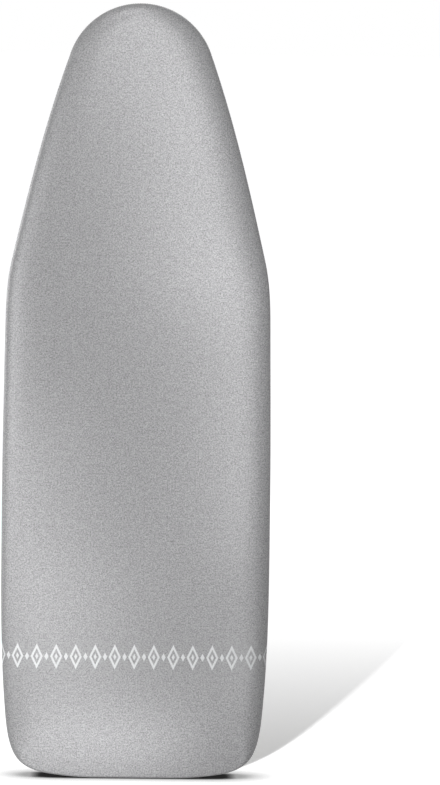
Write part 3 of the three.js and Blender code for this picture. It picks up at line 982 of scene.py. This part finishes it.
def makeTunnel(label, side, random):
    hem, way, curve = hemLine(tunnel["spacing"], side)
    arc = lengthsAlong(hem)
    pitch = tunnel["puckerPitch"] * unevenAlong(arc, random, *tunnel["puckers"])
    phase = np.cumsum(np.gradient(arc) * 2 * math.pi / pitch)
    flank, extra = tunnel["puckerShares"]
    sway, swayRate = tunnel["puckerSway"]
    sides = tunnel["sides"]
    rows = []
    for k, angle in enumerate(anglesRound(sides)):
        c, s = math.cos(angle), math.sin(angle)
        across = np.sign(c) * abs(c) ** tunnel["flatness"][0] * tunnel["halfWidth"]
        through = np.sign(s) * abs(s) ** tunnel["flatness"][1] * tunnel["halfHeight"]
        if min(k, sides - k) == tunnel["seamSide"]:
            through -= np.sign(s) * tunnel["seamDip"]
        wave = np.sin(phase + tunnel["puckerLean"] * c + sway * np.sin(phase * swayRate))
        swell = tunnel["pucker"] * (flank + extra * curve) * wave
        rows.append(place(hem + way * across, tunnel["depth"] + through + swell * s))
    grid = np.stack(rows, 1)
    tunnelGrids[side] = grid
    girth = np.linspace(0, tunnel["girth"], sides)
    uv = np.stack([np.repeat(arc, sides), np.tile(girth, len(hem))], 1)
    piece = makePiece("hem_tunnel_" + label + "_tape", grid.reshape(-1, 3),
                      gridFaces(len(hem), sides, True, flip=side > 0), [tape],
                      replaces=["hem_tunnel_" + label], slot="hem_tape", uv=uv)
    thicken(piece, tunnel["wall"])


for number, (label, side) in enumerate(halves):
    makeTunnel(label, side, np.random.default_rng(tunnel["seed"] + number))
print("tunnel ready")

# Drawcord, held by the tunnel and the lock all the way
drawcord = {
    "radius": 1.5 * mm,
    "lane": 1.7 * mm,
    "lead": 70 * mm,  # over this length the two lanes close up to one
    "tail": 45 * mm,
    "spacing": 5 * mm,
    "fineSpacing": 0.35 * mm,  # on both sides of the lock, where the cord is seen
    "join": 1 * mm,  # left free between the fine and the coarse points
    "footTop": 0.2,  # above this height the cord is past the foot
    "sides": 16,
    "braid": 0.16 * mm,
    "plaits": 8,
    "lay": 9 * mm,
}


def makeCord():
    half, way = halfRun(edge["hem"], evenSteps(drawcord["spacing"]))
    keep = (half[:, 0] > edge["foot"] - 1e-6) | (half[:, 1] > drawcord["footTop"])
    loop, outs = (np.concatenate([p[keep], (p[keep] * [-1, 1])[-2::-1]]) for p in (half, way))
    arc = lengthsAlong(loop)
    lead, lane, hem = drawcord["lead"], drawcord["lane"], edge["hem"]
    shift = (1 - smooth(arc, 0, lead)) - (1 - smooth(arc[-1] - arc, 0, lead))
    loop = loop - outs * (shift * lane)[:, None]
    near = np.arange(-drawcord["tail"], edge["foot"] - drawcord["join"], drawcord["fineSpacing"])
    upper = np.stack([near, np.full(len(near), hem + lane)], 1)
    lower = np.stack([-near[::-1], np.full(len(near), hem - lane)], 1)
    points = place(np.concatenate([upper, loop, lower]), tunnel["depth"])
    turn = lengthsAlong(points)[:, None] * 2 * math.pi / drawcord["lay"]
    angle = anglesRound(drawcord["sides"])[None]
    strand = drawcord["plaits"] / 2
    relief = np.maximum(np.sin(strand * (angle + turn)), np.sin(strand * (angle - turn)))
    radius = drawcord["radius"] - drawcord["braid"] * (1 - relief)
    verts, faces = tube(points, radius, drawcord["sides"], np.array([0.0, 1.0, 0.0]))
    makePiece("drawcord_braid", verts, faces, [cordYarn], replaces=["drawcord"], slot="cord")


makeCord()
print("drawcord ready")

# Cord lock: barrel, push button and spring on one upright axis
lock = {
    "y": faceY + tunnel["depth"],
    "z": edge["hem"],
    "sides": 72,
    "axis": 0.01 * mm,  # radius of the tiny flat that closes a turned profile on the axis
    "radius": 6.5 * mm,
    "bore": 4.2 * mm,
    "drop": 14.6 * mm,
    "floor": 1.6 * mm,
    "slotHalf": 3.5 * mm,
    "slotWidth": 3.6 * mm,
    "lip": 3 * mm,
    "waist": 0.7 * mm,  # how deep the waist round the slot is, and where it begins and ends
    "waistFrom": 2.1 * mm,
    "waistLow": 1 * mm,
    "waistTo": 1.2 * mm,
    "waistRound": 0.5 * mm,
    "bottomRound": 1.6 * mm,
    "lipRound": 0.7 * mm,
    "boreRound": 0.3 * mm,
    "edgeRound": 0.22 * mm,
    "edgeAngle": 40,
    "travel": 3.5 * mm,
    "play": 0.3 * mm,
    "foot": 2.5 * mm,
    "stop": 0.5 * mm,  # between the pressed button and the barrel
    "pinRound": 0.5 * mm,
    "headRadius": 6 * mm,
    "headHeight": 4.5 * mm,
    "crownRound": 1.7 * mm,
    "dish": [(2.4 * mm, 0.05 * mm), (3.6 * mm, 0.5 * mm)],  # hollow for the thumb: way in and depth
    "dishDepth": 0.7 * mm,
}
spring = {
    "wire": 0.35 * mm,
    "radius": 2.9 * mm,
    "turns": 4,
    "turnSteps": 32,
    "play": 0.3 * mm,
    "closedShare": 0.12,  # of the coil, at each end
    "closedRise": 2.4,  # by the wire's radius
    "sides": 10,
}


def turned(profile):
    # a solid of revolution about the lock's axis
    angle = anglesRound(lock["sides"])
    rings = [np.stack([r * np.cos(angle), r * np.sin(angle), np.full(len(angle), z)], 1) for r, z in profile]
    return np.concatenate(rings) + [0, lock["y"], lock["z"]], cappedFaces(len(profile), lock["sides"])


def cutSlot(piece, low, high):
    # right through from side to side, for both strands
    half = np.array([4 * lock["radius"], lock["slotWidth"] / 2, (high - low) / 2])
    corners = np.array([[x, y, z] for x in (-1, 1) for y in (-1, 1) for z in (-1, 1)]) * half
    corners += [0, lock["y"], lock["z"] + (low + high) / 2]
    quads = [(0, 1, 3, 2), (4, 6, 7, 5), (0, 4, 5, 1), (2, 3, 7, 6), (0, 2, 6, 4), (1, 5, 7, 3)]
    cutter = newObject("slot", corners, quads)
    cut = piece.modifiers.new("slot", "BOOLEAN")
    cut.object = cutter
    cut.solver = "EXACT"
    settle(piece)
    bpy.data.objects.remove(cutter)
    soften = piece.modifiers.new("edge", "BEVEL")
    soften.width = lock["edgeRound"]
    soften.segments = 2
    soften.limit_method = "ANGLE"
    soften.angle_limit = math.radians(lock["edgeAngle"])
    soften.harden_normals = True


def arcProfile(r, z, corner, start, end, steps=5):
    # a rounded corner of a turned profile, about its own centre
    angles = np.radians(np.linspace(start, end, steps))
    return [(r + corner * math.cos(a), z + corner * math.sin(a)) for a in angles]


def makeBarrel():
    radius, bore, slotHalf, soft = lock["radius"], lock["bore"], lock["slotHalf"], lock["waistRound"]
    bottom, top = -lock["drop"], slotHalf + lock["lip"]
    hollow = radius - lock["waist"] + soft
    low, lip, inner = lock["bottomRound"], lock["lipRound"], lock["boreRound"]
    profile = [(lock["axis"], bottom)]
    profile += arcProfile(radius - low, bottom + low, low, -90, 0)
    profile += [(radius, -slotHalf - lock["waistFrom"])]
    profile += arcProfile(hollow, -slotHalf - lock["waistLow"], soft, 215, 180, 4)
    profile += arcProfile(hollow, slotHalf + soft, soft, 180, 140, 4)
    profile += [(radius, slotHalf + lock["waistTo"])]
    profile += arcProfile(radius - lip, top - lip, lip, 0, 90)
    profile += arcProfile(bore + inner, top - inner, inner, 90, 180, 4)
    profile += [(bore, bottom + lock["floor"]), (lock["axis"], bottom + lock["floor"])]
    barrel = makePiece("cord_lock_barrel", *turned(profile), [lockBlack], "cord_lock",
                       replaces=["cord_lock_body"], slot="lock_plastic")
    cutSlot(barrel, -slotHalf, slotHalf)


def makeButton():
    slotHalf, soft, crownRound = lock["slotHalf"], lock["pinRound"], lock["crownRound"]
    stem, r = lock["bore"] - lock["play"], lock["headRadius"]
    sole = -slotHalf - lock["foot"]
    head = slotHalf + lock["lip"] + lock["travel"] + lock["stop"]
    crown = head + lock["headHeight"]
    profile = [(lock["axis"], sole)]
    profile += arcProfile(stem - soft, sole + soft, soft, -90, 0)
    profile += [(stem, head)]
    profile += arcProfile(r - soft, head + soft, soft, -90, 0)
    profile += arcProfile(r - crownRound, crown - crownRound, crownRound, 0, 90, 8)
    profile += [(r - inset, crown - deep) for inset, deep in lock["dish"]]
    profile += [(lock["axis"], crown - lock["dishDepth"])]
    button = makePiece("cord_lock_button", *turned(profile), [buttonGrey], "lock_button",
                       replaces=["cord_lock_plunger"], slot="plunger_plastic")
    cutSlot(button, -slotHalf, slotHalf + lock["travel"])


def makeSpring():
    low = -lock["drop"] + lock["floor"] + spring["play"]
    high = -lock["slotHalf"] - lock["foot"] - spring["play"]
    wire, radius, tall = spring["wire"], spring["radius"], high - low
    closed, closedRise = spring["closedShare"], spring["closedRise"] * wire
    t = np.linspace(0, 1, spring["turns"] * spring["turnSteps"] + 1)
    rise = np.interp(t, [0, closed, 1 - closed, 1], [wire, closedRise, tall - closedRise, tall - wire])
    angle = t * spring["turns"] * 2 * math.pi
    points = [radius * np.cos(angle), radius * np.sin(angle) + lock["y"], lock["z"] + low + rise]
    verts, faces = tube(np.stack(points, 1), wire, spring["sides"], np.array([0.0, 0.0, 1.0]))
    coil = makePiece("cord_lock_coil", verts, faces, [steel], "cord_lock",
                     replaces=["cord_lock_spring"], slot="spring_steel")
    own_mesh(coil)


makeBarrel()
makeButton()
makeSpring()
print("cord lock ready")

# The skirt's own narrow hem where the border leaves it bare beside the lock
rearHem = {
    "fold": 0.8 * mm,
    "width": 9 * mm,
    "halfLength": 21 * mm,
    "spacing": 2 * mm,
    "thickness": 0.7 * mm,
    "lift": 0.1 * mm,
    "overlap": 2 * mm,
    "waves": [(0.15 * mm, 0.55, 0), (0.1 * mm, 1.3, 1)],  # height, angle for each mm, start
    "seamIn": 2 * mm,  # from each end to the stitches
    "seamShare": 0.7,  # how far across the hem they lie
}


def makeRearHem():
    fold, lift, deep = rearHem["fold"], rearHem["lift"], faceCloth["skirtDepth"]
    width, half = rearHem["width"], rearHem["halfLength"]
    line = [(deep - rearHem["overlap"], lift), (deep, lift)]
    for angle in np.radians([-60, -30, 0, 30, 60, 90]):
        line.append((deep + fold * math.cos(angle), lift + fold * (1 + math.sin(angle))))
    line += [(deep - width * t, lift + 2 * fold) for t in (0.3, 0.6, 0.9)]
    line.append((deep - width, lift + fold))
    x = np.arange(-half, half + 0.1 * mm, rearHem["spacing"])
    wave = sum(height * np.sin(x / mm * rate + start) for height, rate, start in rearHem["waves"])
    rows = [np.stack([x, np.full(len(x), faceY + y), z + wave * (z > fold)], 1) for y, z in line]
    uv = np.stack([np.stack([x, np.full(len(x), y)], 1) for y in lengthsAlong(np.array(line))])
    piece = makePiece("rear_hem_fold", np.concatenate(rows), gridFaces(len(line), len(x), False),
                      [plainCloth, cotton], slot="metallised_cloth", uv=uv.reshape(-1, 2))
    thicken(piece, rearHem["thickness"], backing=1)


makeRearHem()
print("rear hem ready")

# Stitches
stitching = {
    "start": 1.0 * mm,
    "length": 3.0 * mm,
    "pitch": 3.7 * mm,
    "radius": 0.28 * mm,
    "lift": 0.3 * mm,
    "sink": 0.12 * mm,
    "sides": 6,
    "rings": 5,
    "skirtSpacing": 3 * mm,
    "skirtUp": 3 * mm,  # from the skirt's edge to its stitches
    "skirtIn": 0.05 * mm,
    "footClear": 0.8 * mm,  # none lower than this, under the foot
    "tapeLean": (0.5, 0.85),  # way up from the tape: out of the cover and back
    "endRow": 6,  # the row of the border where the stitches of its end begin
    "tackPitch": 0.62 * mm,
    "tackLength": 2.6 * mm,
    "tackIn": 4 * mm,  # from the tunnel's mouth to the middle of its bar tack
    "tackClear": 0.5 * mm,
    "joinShare": 1.6,  # how much longer the tack over the join at the nose is
}


def between(points, values, at):
    # values along a line of points at given lengths
    arc = lengthsAlong(points)
    return np.stack([np.interp(at, arc, values[:, k]) for k in range(3)], 1)


def stitchesAlong(points, normals):
    # the ends of each stitch of a row that lies on the cloth, and the way up from the cloth
    length = stitching["length"]
    starts = np.arange(stitching["start"], lengthsAlong(points)[-1] - length, stitching["pitch"])
    ends = between(points, points, starts + length)
    return between(points, points, starts), ends, between(points, normals, starts)


def sew(name, stitches):
    # short threads whose ends sink into the cloth
    t = np.linspace(0, 1, stitching["rings"])
    swell = np.sqrt(np.clip(1 - (2 * t - 1) ** 4, 0.04, 1)) * stitching["radius"]
    lift = (1 - (2 * t - 1) ** 2) * stitching["lift"] - stitching["sink"]
    verts, faces, count = [], [], 0
    for starts, ends, ups in stitches:
        for start, end, up in zip(starts, ends, ups):
            line = start + (end - start) * t[:, None] + up * lift[:, None]
            v, f = tube(line, swell[:, None], stitching["sides"], up)
            faces += [[i + count for i in face] for face in f]
            verts.append(v)
            count += len(v)
    makePiece(name, np.concatenate(verts), faces, [seamThread], slot="hem_tape")


def outwardNormals(line, along):
    # across a line of points and a fixed direction
    return unit(np.cross(np.gradient(line, axis=0), along))


def skirtSeam(side):
    rim, out = (p * [side, 1] for p in halfRun(0, evenSteps(stitching["skirtSpacing"])))
    clear = rim[:, 1] > stitching["footClear"]
    rim, out = rim[clear], out[clear]
    line = place(rim - out * stitching["skirtIn"], faceCloth["skirtDepth"] - stitching["skirtUp"])
    return stitchesAlong(line, facing(out))


def tunnelSeam(side):
    outward, backward = stitching["tapeLean"]
    way = hemLine(tunnel["spacing"], side)[1]
    return stitchesAlong(tunnelGrids[side][:, tunnel["seamSide"]], outward * facing(way) + [0, backward, 0])


def endSeam(side):
    line = borderGrids[side][stitching["endRow"]:-1, 1]
    return stitchesAlong(line, outwardNormals(line, np.array([side, 0.0, 0.0])) * side)


def rearHemSeam():
    reach = rearHem["halfLength"] - rearHem["seamIn"]
    x = np.linspace(-reach, reach, 30)
    line = np.stack([x, np.full(len(x), 2 * rearHem["fold"] + rearHem["lift"])], 1)
    line = place(line, faceCloth["skirtDepth"] - rearHem["seamShare"] * rearHem["width"])
    return stitchesAlong(line, np.tile([0.0, 0.0, 1.0], (len(x), 1)))


def barTack(side, along, length):
    # threads laid side by side across the tape, near its mouth or over its join
    grid = tunnelGrids[side]
    at = int(np.argmin(np.abs(lengthsAlong(grid[:, 0]) - along)))
    line = grid[at, 1:tunnel["sides"] // 2]
    way = unit(grid[min(at + 1, len(grid) - 1)] - grid[at - 1])[0]
    clear = stitching["tackClear"]
    middle = between(line, line, np.arange(clear, lengthsAlong(line)[-1] - clear, stitching["tackPitch"]))
    return middle - way * length / 2, middle + way * length / 2, outwardNormals(middle, way) * side


def makeStitches():
    sew("seam_stitches", [skirtSeam(1), skirtSeam(-1), rearHemSeam()])
    sew("hem_stitches", [made(side) for side in (1, -1) for made in (tunnelSeam, endSeam)])
    hemLength = lengthsAlong(tunnelGrids[1][:, 0])[-1]
    tacks = [barTack(side, stitching["tackIn"], stitching["tackLength"]) for side in (1, -1)]
    tacks.append(barTack(1, hemLength, stitching["joinShare"] * stitching["tackLength"]))
    sew("bar_tacks", tacks)


makeStitches()
print("stitches ready")

# Floor, world, lights and camera
studio = {
    "floorSize": 120.0,
    "floorColour": (0.80, 0.80, 0.80),
    "floorBounce": (0.145, 0.145, 0.145),  # what the floor throws back up at the cover
    "floorLift": 0.43,  # white seen by the camera on top of the lit floor
    "behind": (0.2, 1.6),  # the floor fades to plain white between these depths behind the cover
    "around": (1.6, 3.2),  # and between these distances all round
    # painted contact shadow: how far out the floor round the cover's foot is darkened, the floor's openness
    # there and its brightness
    "paintedContactShadows": [(14 * mm, (0.42, 0.9, 0.05, 1.0)), (60 * mm, (0.45, 1.0, 0.3, 1.0))],
    "ambient": 0.085,
    "white": (1.0, 1.0, 1.0, 1.0),
}


def whiteSeen(tree):
    # 1 for rays that may show the white surroundings
    rays = put(tree, "LightPath").outputs
    seen = sums(tree, "ADD", rays["Is Camera Ray"], rays["Is Glossy Ray"])
    return sums(tree, "ADD", seen, rays["Is Transmission Ray"], clamp=True)


def clearedTree(owner):
    owner.use_nodes = True
    owner.node_tree.nodes.clear()
    return owner.node_tree


def makeFloor():
    half = studio["floorSize"] / 2
    corners = [(half * x, half * y, 0) for x, y in ((-1, -1), (1, -1), (1, 1), (-1, 1))]
    floor = newObject("studio_floor", corners, [(0, 1, 2, 3)])
    material = bpy.data.materials.new("paleFloor")
    tree = clearedTree(material)
    spot = inSpace(tree)
    behind = put(tree, "SeparateXYZ", {0: spot}).outputs[1]
    around = put(tree, "VectorMath", {0: spot}, operation="LENGTH").outputs["Value"]
    glow = sums(tree, "MAXIMUM", ramp(tree, behind, *studio["behind"], studio["floorLift"], 1.0),
                ramp(tree, around, *studio["around"], studio["floorLift"], 1.0))
    # painted contact shadow: the floor's ambient occlusion near the cover darkens its white glow and its
    # colour
    paintedShades = []
    for reach, shade in studio["paintedContactShadows"]:
        openness = put(tree, "AmbientOcclusion", {"Distance": reach}, samples=16).outputs["AO"]
        paintedShades.append(ramp(tree, openness, *shade))
    rays = put(tree, "LightPath").outputs
    unseen = sums(tree, "SUBTRACT", 1.0, rays["Is Camera Ray"])
    # near is the painted contact shadow's mask, which the camera alone sees
    near = sums(tree, "MAXIMUM", sums(tree, "MULTIPLY", *paintedShades), unseen)
    glow = sums(tree, "MULTIPLY", sums(tree, "MULTIPLY", glow, near), whiteSeen(tree))
    colour = tint(tree, rays["Is Diffuse Ray"], studio["floorColour"], studio["floorBounce"])
    # the painted contact shadow also darkens the floor's diffuse colour
    lit = put(tree, "BsdfDiffuse", {"Color": tint(tree, near, (0.0, 0.0, 0.0), colour)})
    white = put(tree, "Emission", {"Color": studio["white"], "Strength": glow})
    both = put(tree, "AddShader", {0: lit.outputs[0], 1: white.outputs[0]})
    put(tree, "OutputMaterial", {"Surface": both.outputs[0]})
    floor.data.materials.append(material)
    return floor


def makeWorld():
    scene.world = bpy.data.worlds.new("studio")
    tree = clearedTree(scene.world)
    strength = ramp(tree, whiteSeen(tree), 0.0, 1.0, studio["ambient"], 1.0)
    sky = put(tree, "Background", {"Color": studio["white"], "Strength": strength})
    put(tree, "OutputWorld", {"Surface": sky.outputs[0]})


rearSoft = {"at": (0.9, 3.0, 2.2), "aim": (0, 0, 0.6), "size": (1.6, 1.6)}
lamps = {  # a lamp lights the cover alone, unless "lights" names the floor
    "upperRight": {"at": (0.12, -0.26, 0.93), "aim": (0.114, 0, 0.93), "size": (0.14, 0.4), "power": 0.4},
    "right": {"at": (0.22, -0.26, 0.55), "aim": (0.21, 0, 0.55), "size": (0.12, 0.5), "power": 0.5},
    "lowRight": {"at": (0.26, -0.28, 0.12), "aim": (0.20, 0, 0.12), "size": (0.12, 0.2), "power": 0.19},
    "lowLeft": {"at": (-0.20, -0.26, 0.36), "aim": (-0.19, 0, 0.36), "size": (0.14, 0.4), "power": 0.24},
    "footLeft": {"at": (-0.12, -0.26, 0.20), "aim": (-0.114, 0, 0.20), "size": (0.2, 0.25), "power": 0.17},
    "foot": {"at": (-0.07, -0.20, 0.03), "aim": (-0.067, 0, 0.03), "size": (0.3, 0.05), "power": 0.22},
    "noseFront": {"at": (0.02, -0.50, 1.21), "aim": (0.019, 0, 1.17), "size": (0.14, 0.18), "power": 0.74},
    "noseTop": {"at": (-0.06, -0.30, 1.50), "aim": (0, 0, 1.20), "size": (0.3, 0.2), "power": 0.8},
    "leftEdge": {"at": (-0.5, -0.3, 0.42), "aim": (-0.2, 0, 0.42), "size": (0.15, 0.8), "power": 0.54},
    "left": {"at": (-0.9, -0.6, 0.7), "aim": (-0.15, 0, 0.6), "size": (0.3, 1.0), "power": 4.4},
    "key": {"at": (-1.15, -5.8, 0.56), "aim": (0.1, 0.8, 0), "size": (0.15, 0.1), "power": 230.0,
            "spread": 50, "lights": "floor"},
    "back": {**rearSoft, "power": 100.0, "mirrored": False},
    "backShine": {**rearSoft, "power": 50.0},
    "backLeft": {"at": (-2.4, 1.6, 1.0), "aim": (0, 0, 0.6), "size": (1.0, 1.4), "power": 30.0},
}


def makeLamps(floor):
    flags = {}
    for name, state in (("cover", "EXCLUDE"), ("floor", "INCLUDE")):
        flags[name] = bpy.data.collections.new("lit_" + name)
        flags[name].objects.link(floor)
        flags[name].collection_objects[0].light_linking.link_state = state
    for name, lamp in lamps.items():
        data = bpy.data.lights.new(name, "AREA")
        data.shape = "RECTANGLE"
        data.size, data.size_y = lamp["size"]
        data.energy = lamp["power"]
        data.spread = math.radians(lamp.get("spread", 180))
        thing = linked(name, data)
        thing.visible_camera = False
        thing.visible_glossy = lamp.get("mirrored", True)
        thing.light_linking.receiver_collection = flags[lamp.get("lights", "cover")]
        thing.location = lamp["at"]
        way = Vector(lamp["aim"]) - Vector(lamp["at"])
        thing.rotation_euler = way.to_track_quat("-Z", "Y").to_euler()


view = {
    "lens": 200.0,
    "sensor": 36.0,
    "distance": 6.81,
    "elevation": 5.5,
    "middle": 0.6065,  # height looked at
    "pan": 1.02,  # degrees to the right, so that the cover stands left of the middle
    "roll": -0.75,
}


def makeCamera():
    data = bpy.data.cameras.new("camera")
    data.lens = view["lens"]
    data.sensor_width = view["sensor"]
    camera = linked("camera", data)
    rise, far = math.radians(view["elevation"]), view["distance"]
    camera.location = (0, -far * math.cos(rise), view["middle"] + far * math.sin(rise))
    camera.rotation_euler = (math.pi / 2 - rise, math.radians(view["roll"]), -math.radians(view["pan"]))
    scene.camera = camera


makeWorld()
makeLamps(makeFloor())
makeCamera()
print("studio ready")
